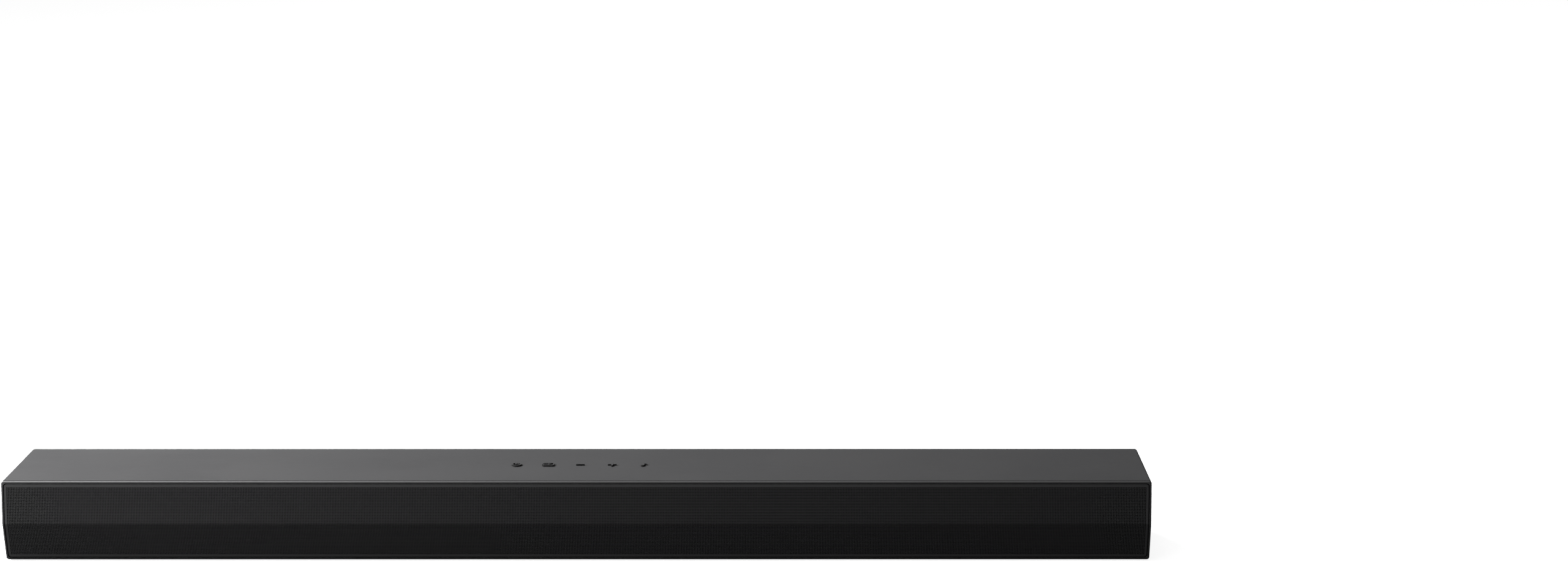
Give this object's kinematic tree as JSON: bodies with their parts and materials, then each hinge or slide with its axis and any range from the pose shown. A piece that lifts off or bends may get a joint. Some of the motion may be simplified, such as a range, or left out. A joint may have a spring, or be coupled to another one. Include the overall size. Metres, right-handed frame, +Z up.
{
  "type": "soundbar",
  "caption": "Long, low soundbar with a perforated folded front, symbol-shaped top keys, oval drivers in sealed chambers and a rear connector recess.",
  "frame": {"origin": "middle of the footprint, on the surface the feet stand on", "axes": "+X along the bar to its right end as seen from the front, -Y out of the grille towards the listener, +Z up"},
  "size_m": [0.85, 0.087, 0.0634],
  "materials": {
    "cabinet": "fine matt texture",
    "tray": "fine matt texture",
    "foot_rubber": "matt",
    "dark_steel": "black oxide",
    "insert_brass": "machined",
    "grille_metal": "fine matt powder coat, perforated",
    "cloth": "open weave",
    "inner_plastic": "moulded",
    "driver_frame": "moulded",
    "surround_rubber": "smooth",
    "cone_paper": "pressed fibre",
    "coil_copper": "enamelled copper",
    "spider_cloth": "resin-treated weave",
    "magnet": "sintered",
    "motor_steel": "zinc plated",
    "gasket_foam": "closed-cell foam",
    "keys": "fine matt texture",
    "plunger": "moulded",
    "switch": "moulded",
    "board": "solder resist",
    "led": "clear lens",
    "socket_plastic": "moulded",
    "socket_metal": "nickel plated",
    "chip": "moulded resin",
    "heat_sink": "extruded",
    "capacitor": "sleeve",
    "lead": "insulation"
  },
  "bodies": {
    "cabinet": {"top_cover": "cabinet", "base_tray": "tray", "rear_panel": "tray", "connector_bay": "tray", "rubber_feet": "foot_rubber", "case_screws": "dark_steel", "wall_inserts": "insert_brass", "front_grille": "grille_metal", "acoustic_cloth": "cloth", "grille_carrier": "inner_plastic", "baffle": "inner_plastic", "front_screws": "dark_steel", "left_chamber": "inner_plastic", "center_chamber": "inner_plastic", "right_chamber": "inner_plastic", "left_driver_frame": "driver_frame", "left_surround": "surround_rubber", "left_spider": "spider_cloth", "left_motor_steel": "motor_steel", "center_driver_frame": "driver_frame", "center_surround": "surround_rubber", "center_spider": "spider_cloth", "center_motor_steel": "motor_steel", "right_driver_frame": "driver_frame", "right_surround": "surround_rubber", "right_spider": "spider_cloth", "right_motor_steel": "motor_steel", "driver_gaskets": "gasket_foam", "driver_magnets": "magnet", "switch_bodies": "switch", "key_board": "board", "main_board": "board", "led_board": "board", "status_leds": "led", "board_screws": "dark_steel", "dc_socket": "socket_plastic", "optical_socket": "socket_plastic", "hdmi_socket": "socket_metal", "usb_socket": "socket_metal", "board_chips": "chip", "heat_sink": "heat_sink", "board_capacitors": "capacitor", "speaker_leads": "lead", "control_leads": "lead"},
    "key_power_body": {"key_power": "keys", "plunger_power": "plunger"},
    "key_input_body": {"key_input": "keys", "plunger_input": "plunger"},
    "key_volume_down_body": {"key_volume_down": "keys", "plunger_volume_down": "plunger"},
    "key_volume_up_body": {"key_volume_up": "keys", "plunger_volume_up": "plunger"},
    "key_pairing_body": {"key_pairing": "keys", "plunger_pairing": "plunger"},
    "left_moving_cone": {"left_cone": "cone_paper", "left_voice_coil": "coil_copper"},
    "center_moving_cone": {"center_cone": "cone_paper", "center_voice_coil": "coil_copper"},
    "right_moving_cone": {"right_cone": "cone_paper", "right_voice_coil": "coil_copper"}
  },
  "joints": [
    {"name": "press_power", "type": "slide", "parent": "cabinet", "child": "key_power_body", "axis": [0, 0, -1], "range_m": [0, 0.0005], "stiffness_N_per_m": 3000},
    {"name": "press_input", "type": "slide", "parent": "cabinet", "child": "key_input_body", "axis": [0, 0, -1], "range_m": [0, 0.0005], "stiffness_N_per_m": 3000},
    {"name": "press_volume_down", "type": "slide", "parent": "cabinet", "child": "key_volume_down_body", "axis": [0, 0, -1], "range_m": [0, 0.0005], "stiffness_N_per_m": 3000},
    {"name": "press_volume_up", "type": "slide", "parent": "cabinet", "child": "key_volume_up_body", "axis": [0, 0, -1], "range_m": [0, 0.0005], "stiffness_N_per_m": 3000},
    {"name": "press_pairing", "type": "slide", "parent": "cabinet", "child": "key_pairing_body", "axis": [0, 0, -1], "range_m": [0, 0.0005], "stiffness_N_per_m": 3000},
    {"name": "left_cone_travel", "type": "slide", "parent": "cabinet", "child": "left_moving_cone", "axis": [0, -1, 0], "range_m": [-0.002, 0.002], "stiffness_N_per_m": 1500, "deforming": ["left_surround", "left_spider"]},
    {"name": "center_cone_travel", "type": "slide", "parent": "cabinet", "child": "center_moving_cone", "axis": [0, -1, 0], "range_m": [-0.002, 0.002], "stiffness_N_per_m": 1500, "deforming": ["center_surround", "center_spider"]},
    {"name": "right_cone_travel", "type": "slide", "parent": "cabinet", "child": "right_moving_cone", "axis": [0, -1, 0], "range_m": [-0.002, 0.002], "stiffness_N_per_m": 1500, "deforming": ["right_surround", "right_spider"]}
  ]
}
